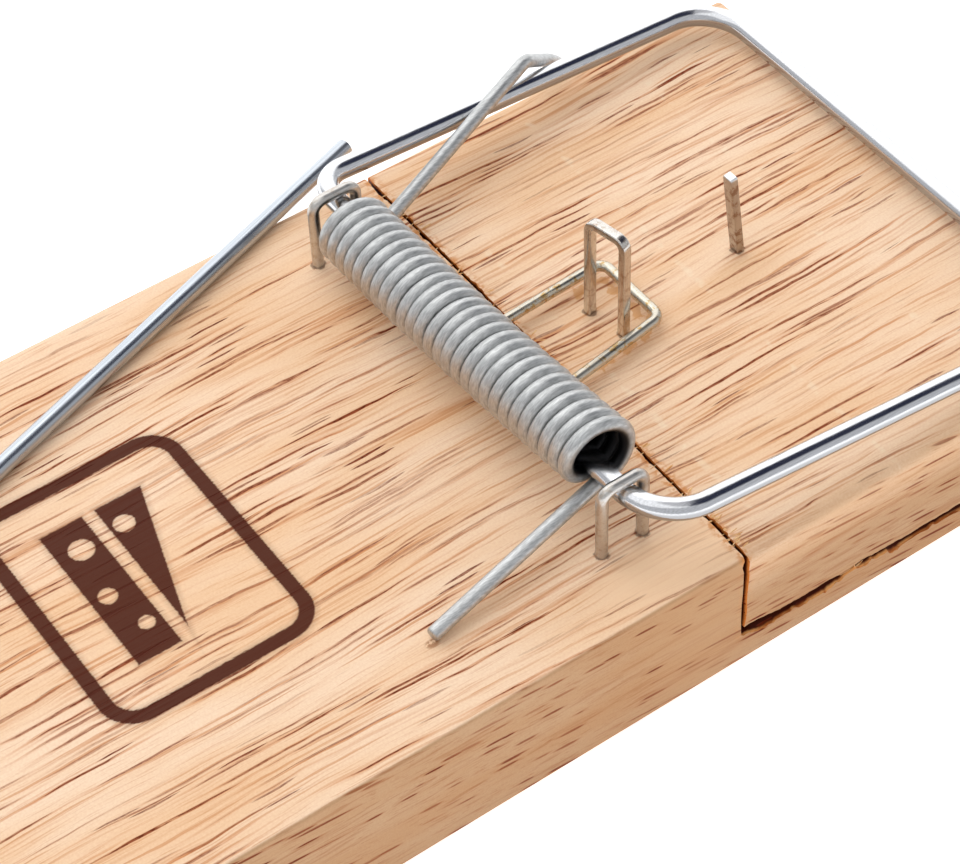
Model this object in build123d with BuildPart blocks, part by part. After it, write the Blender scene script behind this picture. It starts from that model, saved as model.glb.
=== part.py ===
from build123d import *
import math
import os

# ---------------------------------------------------------------- driving dimensions, millimetres
# Wooden block, and the saw cut and cleft that part the treadle from it
BASE_LENGTH = 98.0
BASE_WIDTH = 47.0
BASE_THICKNESS = 11.6
EDGE_ROUNDING = 0.9
TREADLE_LENGTH = 34.8
KERF_WIDTH = 0.3
# Cleft along the grain: (distance from the saw cut, depth below the top face)
LEDGE_PROFILE = ((0.0, 8.6), (2.2, 8.85), (5.2, 8.95), (7.4, 9.0), (9.0, 8.8), (10.2, 8.45),
                 (11.6, 8.8), (15.0, 8.95), (19.0, 9.0), (25.0, 8.85), (31.0, 9.05))
UNDERSIDE_PROFILE = ((0.0, 7.85), (1.6, 8.1), (4.0, 8.35), (7.0, 8.5), (9.0, 8.52), (10.2, 8.4),
                     (11.8, 8.52), (15.0, 8.65), (19.0, 8.7), (25.0, 8.55), (31.0, 8.75))

# Jaw: one bent wire whose back side is the axle
JAW_WIRE_RADIUS = 0.83
AXLE_FROM_KERF = 5.8
AXLE_HEIGHT = 4.95
BAR_FROM_KERF = 32.9
BAR_HEIGHT = 1.5
JAW_NEAR_ROOT, JAW_NEAR_END = 2.7, 2.0
JAW_FAR_ROOT, JAW_FAR_END = 44.4, 45.6
NEAR_BEND, BAR_BEND, FAR_BEND = 4.2, 4.2, 2.4
WIRE_END_GAP = 0.4

# Torsion spring round the axle
SPRING_WIRE_RADIUS = 0.55
COIL_RADIUS = 2.4
COIL_TURNS = 27
COIL_NEAR = (-5.5, 9.3, 5.9)
COIL_FAR = (-6.0, 39.5, 4.05)
TAIL_SLOPE = 10.4
NEAR_TAIL_TIP = (-21.4, 6.95, 0.57)
FAR_TAIL_BEND = (14.0, 45.2, 5.62)
FAR_TAIL_TIP = (19.5, 48.0, 0.96)
TAIL_LEAD = 1.6
TAIL_BEND_RADIUS = 6.0
HOOK_BEND_RADIUS = 1.2

# Two staples that hold the axle down
STAPLE_WIRE_RADIUS = 0.45
STAPLE_BEND = 0.9
STAPLE_DEPTH = 5.5
NEAR_STAPLE_Y, NEAR_STAPLE_LEGS, NEAR_STAPLE_PLAY = 6.15, (-7.84, -4.35), 0.18
FAR_STAPLE_Y, FAR_STAPLE_LEGS, FAR_STAPLE_PLAY = 41.2, (-8.1, -4.4), 0.02

# Locking rod with a rolled eye, and the staple that holds the eye
ROD_RADIUS = 0.7
ROD_YAW = 18.87
ROD_TIP = (0.22, 50.05)
ROD_SHANK = 58.85
EYE_RADIUS = 2.8
EYE_OPEN_ANGLE = 62.0
ROD_STAPLE_YAW = 8.0
ROD_STAPLE_OUTER, ROD_STAPLE_INNER = -1.25, 3.9
ROD_PLAY = 0.05
ROD_REST_GAP = 0.01

# Catch staple and bait spike on the treadle
CATCH_SECTION = 0.8
CATCH_BEND = 0.6
CATCH_FEET = ((5.3, 25.1), (5.95, 21.85))
CATCH_HEIGHT = 9.3
CATCH_DEPTH = 5.0
SPIKE_WIDTH, SPIKE_THICKNESS = 1.0, 0.7
SPIKE_FOOT = (18.0, 23.7)
SPIKE_LEAN = 7.3
SPIKE_HEIGHT = 8.3
SPIKE_DEPTH = 5.0

# Wire loop from the block over the treadle, round the catch
LOOP_WIRE_RADIUS = 0.42
LOOP_HEIGHT = 1.2
LOOP_BEND = 0.9
LOOP_DEPTH = 5.5
LOOP_FEET = ((-5.5, 26.9), (-5.5, 18.6))
LOOP_CORNERS = ((8.35, 27.7), (8.4, 20.7))

# Room round a leg in its hole in the wood
HOLE_CLEARANCE = 0.01

# ---------------------------------------------------------------- derived places
# Measures above count from the saw cut (X), the near edge (Y) and the top face (Z).
# The row frame has its origin at the centre of the block's underside.
KERF_X = BASE_LENGTH / 2 - TREADLE_LENGTH
NEAR_EDGE = -BASE_WIDTH / 2
TOP = BASE_THICKNESS


def place(x, y, z=0.0):
    """Point in the row frame from its distances to saw cut, near edge and top face."""
    return Vector(KERF_X + x, NEAR_EDGE + y, TOP + z)


AXLE_X = -AXLE_FROM_KERF
ROD_HEIGHT = ROD_RADIUS + ROD_REST_GAP
ROD_STAPLE_HEIGHT = ROD_HEIGHT + ROD_RADIUS + ROD_PLAY + STAPLE_WIRE_RADIUS
# Unit vector from the rod's tip towards its eye, and the one to the eye's side
ROD_BACK = Vector(-1, 0, 0).rotate(Axis.Z, ROD_YAW)
ROD_SIDE = Vector(0, -1, 0).rotate(Axis.Z, ROD_YAW)
ROD_END = place(*ROD_TIP, ROD_HEIGHT)
EYE_START = ROD_END + ROD_BACK * ROD_SHANK
EYE_CENTRE = EYE_START + ROD_SIDE * EYE_RADIUS
# The rod turns about the back of its eye, where it lies under the staple
ROD_PIVOT = EYE_CENTRE + ROD_BACK * EYE_RADIUS


def export(builder, name):
    """Name one finished piece and write it as a STEP file."""
    builder.part.label = name
    export_step(builder.part, f"parts/{name}.step")


def round_wire(points, bends, radius):
    """Round wire bent along straight runs, added to the part being built."""
    with BuildLine() as route:
        FilletPolyline(*points, radius=bends)
    with BuildSketch(Plane(route.wire() @ 0, z_dir=route.wire() % 0)) as section:
        Circle(radius)
    sweep(sections=section.sketch, path=route.wire())


def staple_points(feet, height, depth):
    """The four corners of a staple: down in the wood, over the top and down again."""
    first, last = feet
    return [place(*first, -depth), place(*first, height), place(*last, height), place(*last, -depth)]


def leg_holes(feet, radius, depth):
    """Round holes in the wood for driven wire legs."""
    with Locations(*[place(*foot) for foot in feet]):
        Cylinder(radius + HOLE_CLEARANCE, depth + HOLE_CLEARANCE,
                 align=(Align.CENTER, Align.CENTER, Align.MAX), mode=Mode.SUBTRACT)


def axle_staple_feet(legs, y):
    return [(x, y) for x in legs]


def axle_staple_height(play):
    """Height of a crossbar's centre that leaves this play above the axle."""
    return AXLE_HEIGHT + JAW_WIRE_RADIUS + play + STAPLE_WIRE_RADIUS


def rod_staple_feet():
    """Feet of the rod's staple, one behind the eye and one inside it."""
    along = Vector(1, 0, 0).rotate(Axis.Z, ROD_STAPLE_YAW)
    origin = place(0, 0)
    feet = [ROD_PIVOT + along * reach for reach in (ROD_STAPLE_OUTER, ROD_STAPLE_INNER)]
    return [(foot.X - origin.X, foot.Y - origin.Y) for foot in feet]


# ---------------------------------------------------------------- wooden block and treadle
def whole_block():
    """The block before it is sawn and cleft, with softened edges."""
    Box(BASE_LENGTH, BASE_WIDTH, BASE_THICKNESS, align=(Align.CENTER, Align.CENTER, Align.MIN))
    fillet(edges(), radius=EDGE_ROUNDING)


def treadle_side(profile, start):
    """Closed outline of everything right of the cut and above a cleft surface."""
    cleft = [(KERF_X + start + x, TOP - depth) for x, depth in profile]
    end = BASE_LENGTH
    lowest = cleft[-1][1]
    return cleft + [(end, lowest), (end, TOP + BASE_THICKNESS), (KERF_X + start, TOP + BASE_THICKNESS)]


def treadle_prism(profile, start, mode):
    with BuildSketch(Plane.XZ) as outline:
        with BuildLine():
            Polyline(*treadle_side(profile, start), close=True)
        make_face()
    extrude(outline.sketch, amount=BASE_WIDTH, both=True, mode=mode)


def make_base_block():
    with BuildPart() as base_block:
        whole_block()
        treadle_prism(LEDGE_PROFILE, -KERF_WIDTH / 2, Mode.SUBTRACT)
        leg_holes(axle_staple_feet(NEAR_STAPLE_LEGS, NEAR_STAPLE_Y), STAPLE_WIRE_RADIUS, STAPLE_DEPTH)
        leg_holes(axle_staple_feet(FAR_STAPLE_LEGS, FAR_STAPLE_Y), STAPLE_WIRE_RADIUS, STAPLE_DEPTH)
        leg_holes(rod_staple_feet(), STAPLE_WIRE_RADIUS, STAPLE_DEPTH)
        leg_holes(LOOP_FEET, LOOP_WIRE_RADIUS, LOOP_DEPTH)
    export(base_block, "base_block")


def make_treadle():
    with BuildPart() as treadle:
        whole_block()
        treadle_prism(UNDERSIDE_PROFILE, KERF_WIDTH / 2, Mode.INTERSECT)
        catch_leg_holes()
        spike_blank(HOLE_CLEARANCE, Mode.SUBTRACT)
    export(treadle, "treadle")


# ---------------------------------------------------------------- jaw and spring
def make_jaw():
    """Rectangular wire jaw: both ends of the wire meet inside the spring."""
    middle = (JAW_NEAR_ROOT + JAW_FAR_ROOT) / 2
    corners = [
        place(AXLE_X, middle - WIRE_END_GAP / 2, AXLE_HEIGHT),
        place(AXLE_X, JAW_NEAR_ROOT, AXLE_HEIGHT),
        place(BAR_FROM_KERF, JAW_NEAR_END, BAR_HEIGHT),
        place(BAR_FROM_KERF, JAW_FAR_END, BAR_HEIGHT),
        place(AXLE_X, JAW_FAR_ROOT, AXLE_HEIGHT),
        place(AXLE_X, middle + WIRE_END_GAP / 2, AXLE_HEIGHT),
    ]
    with BuildPart() as jaw:
        round_wire(corners, [NEAR_BEND, BAR_BEND, BAR_BEND, FAR_BEND], JAW_WIRE_RADIUS)
    export(jaw, "jaw")


def coil_frame():
    """Frame with Z along the coil and X pointing down to where both tails leave."""
    start, end = place(*COIL_NEAR), place(*COIL_FAR)
    along = (end - start).normalized()
    down = Vector(0, 0, -1)
    down = (down - along * down.dot(along)).normalized().rotate(Axis((0, 0, 0), along), -TAIL_SLOPE)
    return Plane(start, x_dir=down, z_dir=along), (end - start).length


def make_torsion_spring():
    """Left-hand close coil with a straight tail on the block and a hooked tail over the jaw."""
    frame, length = coil_frame()
    coil = Helix(length / COIL_TURNS, length, COIL_RADIUS, lefthand=True)
    near_lead = coil @ 0 - (coil % 0) * TAIL_LEAD
    far_lead = coil @ 1 + (coil % 1) * TAIL_LEAD
    near_tip, far_bend, far_tip = [
        frame.to_local_coords(place(*point)) for point in (NEAR_TAIL_TIP, FAR_TAIL_BEND, FAR_TAIL_TIP)
    ]
    near_tail = FilletPolyline(near_tip, near_lead, coil @ 0, radius=TAIL_BEND_RADIUS)
    far_tail = FilletPolyline(coil @ 1, far_lead, far_bend, far_tip,
                              radius=[TAIL_BEND_RADIUS, HOOK_BEND_RADIUS])
    with BuildPart() as spring_blank:
        for run in (near_tail, coil, far_tail):
            with BuildSketch(Plane(run @ 0, z_dir=run % 0)) as section:
                Circle(SPRING_WIRE_RADIUS)
            sweep(sections=section.sketch, path=run, is_frenet=True)
    with BuildPart() as torsion_spring:
        add(spring_blank.part.moved(frame.location))
    export(torsion_spring, "torsion_spring")


# ---------------------------------------------------------------- staples, loop, rod
def make_wire_staple(name, feet, height):
    with BuildPart() as staple:
        round_wire(staple_points(feet, height, STAPLE_DEPTH), STAPLE_BEND, STAPLE_WIRE_RADIUS)
    export(staple, name)


def make_treadle_loop():
    """U of wire whose legs bend down into the block under the spring."""
    far_foot, near_foot = LOOP_FEET
    far_corner, near_corner = LOOP_CORNERS
    points = [
        place(*far_foot, -LOOP_DEPTH),
        place(*far_foot, LOOP_HEIGHT),
        place(*far_corner, LOOP_HEIGHT),
        place(*near_corner, LOOP_HEIGHT),
        place(*near_foot, LOOP_HEIGHT),
        place(*near_foot, -LOOP_DEPTH),
    ]
    with BuildPart() as treadle_loop:
        round_wire(points, LOOP_BEND, LOOP_WIRE_RADIUS)
    export(treadle_loop, "treadle_loop")


def make_locking_rod():
    """Straight rod whose end is rolled round into an eye that lies flat on the block."""
    with BuildPart() as locking_rod:
        with BuildLine(Plane.XY.offset(ROD_END.Z)) as route:
            Line((ROD_END.X, ROD_END.Y), (EYE_START.X, EYE_START.Y))
            JernArc((EYE_START.X, EYE_START.Y), (ROD_BACK.X, ROD_BACK.Y), EYE_RADIUS, 360 - EYE_OPEN_ANGLE)
        with BuildSketch(Plane(ROD_END, z_dir=ROD_BACK)) as section:
            Circle(ROD_RADIUS)
        sweep(sections=section.sketch, path=route.wire())
    export(locking_rod, "locking_rod")


# ---------------------------------------------------------------- catch and spike
def catch_line():
    first, last = [place(*foot) for foot in CATCH_FEET]
    return (last - first).normalized()


def catch_leg_holes():
    """Square holes in the treadle for the catch's two legs."""
    side = CATCH_SECTION + 2 * HOLE_CLEARANCE
    for foot in CATCH_FEET:
        with BuildSketch(Plane(place(*foot), x_dir=catch_line(), z_dir=(0, 0, -1))) as hole:
            Rectangle(side, side)
        extrude(hole.sketch, amount=CATCH_DEPTH + HOLE_CLEARANCE, mode=Mode.SUBTRACT)


def make_catch_staple():
    with BuildPart() as catch_staple:
        with BuildLine() as route:
            FilletPolyline(*staple_points(CATCH_FEET, CATCH_HEIGHT, CATCH_DEPTH), radius=CATCH_BEND)
        with BuildSketch(Plane(route.wire() @ 0, x_dir=catch_line(), z_dir=(0, 0, 1))) as section:
            Rectangle(CATCH_SECTION, CATCH_SECTION)
        sweep(sections=section.sketch, path=route.wire())
    export(catch_staple, "catch_staple")


def spike_blank(extra, mode):
    """Flat wire driven into the treadle, leaning back towards the jaw's axle."""
    lean = Vector(0, 0, 1).rotate(Axis.Y, -SPIKE_LEAN)
    foot = place(*SPIKE_FOOT) - lean * (SPIKE_DEPTH + extra)
    with BuildSketch(Plane(foot, x_dir=(0, 1, 0), z_dir=lean)) as section:
        Rectangle(SPIKE_WIDTH + 2 * extra, SPIKE_THICKNESS + 2 * extra)
    extrude(section.sketch, amount=SPIKE_DEPTH + SPIKE_HEIGHT + extra, mode=mode)


def make_bait_spike():
    with BuildPart() as bait_spike:
        spike_blank(0.0, Mode.ADD)
    export(bait_spike, "bait_spike")


def main():
    os.makedirs("parts", exist_ok=True)
    make_base_block()
    make_treadle()
    make_jaw()
    make_torsion_spring()
    make_wire_staple("axle_staple_near", axle_staple_feet(NEAR_STAPLE_LEGS, NEAR_STAPLE_Y),
                     axle_staple_height(NEAR_STAPLE_PLAY))
    make_wire_staple("axle_staple_far", axle_staple_feet(FAR_STAPLE_LEGS, FAR_STAPLE_Y),
                     axle_staple_height(FAR_STAPLE_PLAY))
    make_wire_staple("rod_staple", rod_staple_feet(), ROD_STAPLE_HEIGHT)
    make_treadle_loop()
    make_locking_rod()
    make_catch_staple()
    make_bait_spike()


main()
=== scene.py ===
import math
import random

import bmesh
import bpy
from mathutils import Matrix, Vector, noise


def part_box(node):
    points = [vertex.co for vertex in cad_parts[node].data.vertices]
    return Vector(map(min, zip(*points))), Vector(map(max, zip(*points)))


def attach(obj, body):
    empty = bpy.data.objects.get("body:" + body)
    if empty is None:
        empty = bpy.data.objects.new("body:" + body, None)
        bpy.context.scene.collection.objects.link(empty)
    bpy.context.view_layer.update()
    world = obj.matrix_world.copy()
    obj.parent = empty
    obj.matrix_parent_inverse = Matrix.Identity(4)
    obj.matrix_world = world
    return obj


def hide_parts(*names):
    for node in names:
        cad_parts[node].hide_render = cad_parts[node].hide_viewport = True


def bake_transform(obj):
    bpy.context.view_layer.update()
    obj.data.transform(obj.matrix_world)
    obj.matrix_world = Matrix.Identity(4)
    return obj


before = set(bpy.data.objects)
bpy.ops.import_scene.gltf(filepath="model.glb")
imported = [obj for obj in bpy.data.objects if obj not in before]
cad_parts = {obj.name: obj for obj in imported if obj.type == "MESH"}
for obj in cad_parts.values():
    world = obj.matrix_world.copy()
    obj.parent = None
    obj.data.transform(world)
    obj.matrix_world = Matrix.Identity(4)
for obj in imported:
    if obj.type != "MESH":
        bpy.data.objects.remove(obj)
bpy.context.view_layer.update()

MM = 0.001

# ------------------------------------------------------------------ driving dimensions, millimetres
# Taken from the saw cut (X), the near edge (Y) and the top face (Z), as in the CAD model.
BLOCK_LOW = [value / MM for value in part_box("base_block")[0]]
BLOCK_HIGH = [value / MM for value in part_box("base_block")[1]]
TREADLE_LOW = [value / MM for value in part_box("treadle")[0]]
WIDTH = BLOCK_HIGH[1] - BLOCK_LOW[1]
THICKNESS = 11.6
KERF = 0.3
KERF_X = TREADLE_LOW[0] - KERF / 2
NEAR_Y = BLOCK_LOW[1]
LEFT_END = BLOCK_LOW[0] - KERF_X
RIGHT_END = BLOCK_HIGH[0] - KERF_X
LEDGE = ((0.0, 8.6), (2.2, 8.85), (5.2, 8.95), (7.4, 9.0), (9.0, 8.8), (10.2, 8.45),
         (11.6, 8.8), (15.0, 8.95), (19.0, 9.0), (25.0, 8.85), (40.0, 9.05))
UNDERSIDE = ((0.0, 7.85), (1.6, 8.1), (4.0, 8.35), (7.0, 8.5), (9.0, 8.52), (10.2, 8.4),
             (11.8, 8.52), (15.0, 8.65), (19.0, 8.7), (25.0, 8.55), (40.0, 8.75))


def place(x, y, z=0.0):
    """Row-frame point, in metres, from distances to saw cut, near edge and top face."""
    return Vector((KERF_X + x, NEAR_Y + y, THICKNESS + z)) * MM


# ------------------------------------------------------------------ shader node helpers
class Graph:
    """Short names for building a node tree."""

    def __init__(self, tree):
        self.tree = tree
        tree.nodes.clear()

    def add(self, kind, inputs=None, **settings):
        node = self.tree.nodes.new(kind)
        for key, value in settings.items():
            setattr(node, key, value)
        for key, value in (inputs or {}).items():
            self.set(node.inputs[key], value)
        return node

    def set(self, socket, value):
        if isinstance(value, bpy.types.NodeSocket):
            self.tree.links.new(value, socket)
        else:
            socket.default_value = value

    def math(self, operation, a, b=0.0, c=0.0, clamp=False):
        node = self.add("ShaderNodeMath", {0: a, 1: b, 2: c}, operation=operation)
        node.use_clamp = clamp
        return node.outputs[0]

    def times(self, first, *others):
        for other in others:
            first = self.math("MULTIPLY", first, other)
        return first

    def least(self, values):
        smallest = values[0]
        for value in values[1:]:
            smallest = self.math("MINIMUM", smallest, value)
        return smallest

    def vector(self, operation, a, b=(0.0, 0.0, 0.0)):
        node = self.add("ShaderNodeVectorMath", {0: a, 1: b}, operation=operation)
        return node.outputs["Value" if operation in ("DOT_PRODUCT", "LENGTH") else "Vector"]

    def split(self, vector):
        node = self.add("ShaderNodeSeparateXYZ", {0: vector})
        return node.outputs[0], node.outputs[1], node.outputs[2]

    def join(self, x, y, z):
        return self.add("ShaderNodeCombineXYZ", {0: x, 1: y, 2: z}).outputs[0]

    def ramp(self, value, low, high, out_low=0.0, out_high=1.0):
        node = self.add("ShaderNodeMapRange", {"Value": value, "From Min": low, "From Max": high,
                                               "To Min": out_low, "To Max": out_high},
                        interpolation_type="SMOOTHSTEP")
        return node.outputs[0]

    def noise(self, vector, scale=1.0, detail=2.0, rough=0.5):
        node = self.add("ShaderNodeTexNoise", {"Vector": vector, "Scale": scale, "Detail": detail,
                                               "Roughness": rough})
        return node.outputs["Fac"]

    def cells(self, vector):
        """Distance to the nearest cell point, and that cell's random colour."""
        inputs = {"Vector": vector, "Scale": 1.0, "Randomness": 1.0}
        node = self.add("ShaderNodeTexVoronoi", inputs)
        return node.outputs["Distance"], node.outputs["Color"]

    def mix(self, factor, a, b, blend="MIX"):
        node = self.add("ShaderNodeMix", {0: factor}, data_type="RGBA", blend_type=blend)
        self.set(node.inputs[6], a)
        self.set(node.inputs[7], b)
        return node.outputs[2]

    def bump(self, height, strength, distance, normal=None):
        inputs = {"Height": height, "Strength": strength, "Distance": distance}
        if normal is not None:
            inputs["Normal"] = normal
        return self.add("ShaderNodeBump", inputs).outputs[0]


def material(name):
    made = bpy.data.materials.new(name)
    made.use_nodes = True
    graph = Graph(made.node_tree)
    shader = graph.add("ShaderNodeBsdfPrincipled")
    output = graph.add("ShaderNodeOutputMaterial")
    graph.tree.links.new(shader.outputs[0], output.inputs[0])
    return made, graph, shader


def rgb(red, green, blue):
    """Linear colour from sRGB values 0 to 255."""
    def linear(value):
        value /= 255.0
        return value / 12.92 if value <= 0.04045 else ((value + 0.055) / 1.055) ** 2.4
    return (linear(red), linear(green), linear(blue), 1.0)


# ------------------------------------------------------------------ wood
LIGHT_WOOD = rgb(255, 225, 194)
# Partly painted light: a warmer wood colour that offsets the shadow of the coil and jaw
CLEAR_WOOD_PAINTED_LIGHT = rgb(255, 216, 177)
MID_WOOD = rgb(247, 206, 165)
PORE_WOOD = rgb(132, 46, 8)
DOT_WOOD = rgb(96, 32, 4)
FIBRE_WOOD = rgb(204, 128, 70)
HALO_WOOD = rgb(206, 118, 54)
# Side faces: the side grain's darker colour and painted shade together
SIDE_TONE_AND_SHADE = rgb(202, 187, 169)
PLANED_WOOD = rgb(255, 236, 206)
CUT_WOOD = rgb(218, 144, 80)
SPLIT_WOOD = rgb(232, 164, 98)
TORN_WOOD = rgb(176, 98, 44)
PALE_CUT = rgb(232, 142, 68)
# DARK_CUT is painted shade deep in the saw cut and the cleft; it also colours the darker rings round the
# legs
DARK_CUT = rgb(66, 18, 2)
DENT_WOOD = rgb(168, 110, 70)
LOOP_TRACE_BROWN = rgb(218, 150, 78)
BURNT_WOOD = rgb(78, 27, 12)
PALE_FIBRE = rgb(252, 214, 160)
DARK_FIBRE = rgb(222, 158, 98)

# Vessel lines: cell size, radius of the spindle in its cell, share of the cells used, and offset
LONG_LINES = ((34.0, 0.46, 0.42), 0.27, 0.92, 3.1)
MORE_LINES = ((22.0, 0.52, 0.44), 0.25, 0.9, 63.4)
SHORT_LINES = ((9.0, 0.46, 0.46), 0.24, 0.45, 17.7)
FAINT_LINES = ((27.0, 0.42, 0.36), 0.3, 0.9, 29.5)
SHORT_DASHES = ((5.4, 0.54, 0.54), 0.24, 0.8, 41.3)
LONG_DASHES = ((17.0, 0.62, 0.62), 0.22, 0.6, 77.9)
TOP_RISE = 0.012
SIDE_RISE = 0.1

# Places on the block
LEG_FEET = ((-7.84, 6.15), (-4.35, 6.15), (-8.1, 41.2), (-4.4, 41.2),
            (5.3, 25.1), (5.95, 21.85), (18.0, 23.7))
LOOP_TRACE_LINES = (((8.1, 26.8), (8.1, 21.2)), ((8.1, 21.2), (2.5, 20.2)), ((8.0, 27.3), (5.5, 27.1)))
PLANER_MARKS = (2.8, 13.6, 24.0)
TAIL_DENT = (-21.5, 6.75, 0.0)
CLEAR_PATCH = (-4.0, 2.6, 0.0)
TOP_SKIN = -0.5
PLANED_SKIN = -0.4
BURNT_SKIN = -0.6
LEDGE_TOP = -8.8
SPLIT_TOP = -7.2
SPLIT_BOTTOM = -9.9
IN_PLANE = (1.0, 1.0, 0.0)

MARK_CENTRE = (-34.1, 23.5)
MARK_HALF = (7.7, 10.4)
MARK_CORNER = 2.2
MARK_LINE = 0.55
CHEESE_HOLES = ((-2.3, 4.3, 0.95), (-2.9, -0.3, 0.7), (1.3, 4.6, 0.8), (-1.9, -3.8, 0.6))


def millimetres(graph):
    """Object coordinates in millimetres from saw cut, near edge and top face."""
    coords = graph.add("ShaderNodeTexCoord").outputs["Object"]
    scaled = graph.vector("SCALE", coords)
    scaled.node.inputs["Scale"].default_value = 1 / MM
    return graph.vector("SUBTRACT", scaled, (KERF_X, NEAR_Y, THICKNESS))


def object_normal(graph):
    """Components of the surface normal along the axes of the block."""
    normal = graph.add("ShaderNodeNewGeometry").outputs["Normal"]
    local = graph.add("ShaderNodeVectorTransform", {0: normal}, vector_type="NORMAL",
                      convert_from="WORLD", convert_to="OBJECT").outputs[0]
    return graph.split(local)


def stretched(graph, vector, lengths, offset=0.0):
    """Coordinates divided by a cell size along each axis."""
    sizes = tuple(1 / length for length in lengths)
    moved = graph.vector("MULTIPLY", vector, sizes)
    return graph.vector("ADD", moved, (offset, offset, offset))


def streaks(graph, vector, lengths, offset=0.0, detail=2.0, rough=0.5):
    """Noise with its own cell size along each axis."""
    return graph.noise(stretched(graph, vector, lengths, offset), 1.0, detail, rough)


def pore_layer(graph, vector, lengths, radius, keep, offset):
    """Spindle-shaped vessel lines and the stained wood round them: long cells, some left empty."""
    distance, colour = graph.cells(stretched(graph, vector, lengths, offset))
    chance, depth, _ = graph.split(colour)
    chosen = graph.math("GREATER_THAN", chance, 1.0 - keep)
    shade = graph.times(graph.math("MULTIPLY_ADD", depth, 0.55, 0.45), chosen)
    inside = graph.times(graph.ramp(distance, radius, radius * 0.7), shade)
    halo = graph.times(graph.ramp(distance, radius * 1.5, radius * 0.8), shade)
    return inside, halo


def burnt_mark(graph, point):
    """A rounded frame with a wedge of cheese in it, burnt into the top face."""
    x, y, z = graph.split(point)
    rough = graph.noise(graph.vector("MULTIPLY", point, (2.2, 7.0, 1.0)), 1.0, 3.0)
    jitter = graph.times(graph.math("SUBTRACT", rough, 0.5), 0.22)
    u = graph.math("ADD", graph.math("SUBTRACT", x, MARK_CENTRE[0]), jitter)
    v = graph.math("ADD", graph.math("SUBTRACT", y, MARK_CENTRE[1]), jitter)

    def rounded_box(half_u, half_v, radius):
        across = graph.math("SUBTRACT", graph.math("ABSOLUTE", u), half_u - radius)
        along = graph.math("SUBTRACT", graph.math("ABSOLUTE", v), half_v - radius)
        outer = graph.vector("LENGTH", graph.join(graph.math("MAXIMUM", across, 0.0),
                                                  graph.math("MAXIMUM", along, 0.0), 0.0))
        inner = graph.math("MINIMUM", graph.math("MAXIMUM", across, along), 0.0)
        return graph.math("SUBTRACT", graph.math("ADD", outer, inner), radius)

    def line(nu, nv, offset):
        """Signed distance to a straight edge with outward normal (nu, nv)."""
        length = math.hypot(nu, nv)
        along = graph.math("MULTIPLY_ADD", u, nu / length, -offset)
        return graph.math("MULTIPLY_ADD", v, nv / length, along)

    def disc(cu, cv, radius):
        away = graph.join(graph.math("SUBTRACT", u, cu), graph.math("SUBTRACT", v, cv), 0.0)
        return graph.math("SUBTRACT", graph.vector("LENGTH", away), radius)

    outline = rounded_box(*MARK_HALF, MARK_CORNER)
    frame_line = graph.math("SUBTRACT", graph.math("ABSOLUTE", outline), MARK_LINE)
    # The wedge stands with its top towards the treadle and its thin end towards the near edge
    top = graph.math("MAXIMUM", line(14.0, -4.2, 1.82), line(-1.0, 0.0, -0.2))
    rind = graph.math("MAXIMUM", line(1.0, 0.0, -0.8), line(-1.0, 0.0, 4.2))
    rind = graph.math("MAXIMUM", rind, line(0.0, -1.0, 6.6))
    wedge = graph.math("MAXIMUM", graph.math("MINIMUM", top, rind), line(0.0, 1.0, 6.9))
    for hole in CHEESE_HOLES:
        wedge = graph.math("MAXIMUM", wedge, graph.times(disc(*hole), -1.0))
    shape = graph.math("MINIMUM", frame_line, wedge)
    on_top = graph.math("GREATER_THAN", z, BURNT_SKIN)
    burnt = graph.times(graph.ramp(shape, 0.08, -0.08), on_top)
    scorch = graph.times(graph.ramp(shape, 0.55, 0.0), on_top)
    return burnt, scorch


def near_segment(graph, point, start, end):
    """Distance, in the plane of the top face, from a straight segment."""
    sx, sy = start
    dx, dy = end[0] - sx, end[1] - sy
    size = dx * dx + dy * dy
    offset = graph.vector("SUBTRACT", point, (sx, sy, 0.0))
    run = graph.vector("DOT_PRODUCT", offset, (dx / size, dy / size, 0.0))
    share = graph.math("MULTIPLY", run, 1.0, clamp=True)
    foot = graph.join(graph.times(share, dx), graph.times(share, dy), 0.0)
    away = graph.vector("MULTIPLY", graph.vector("SUBTRACT", offset, foot), IN_PLANE)
    return graph.vector("LENGTH", away)


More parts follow.
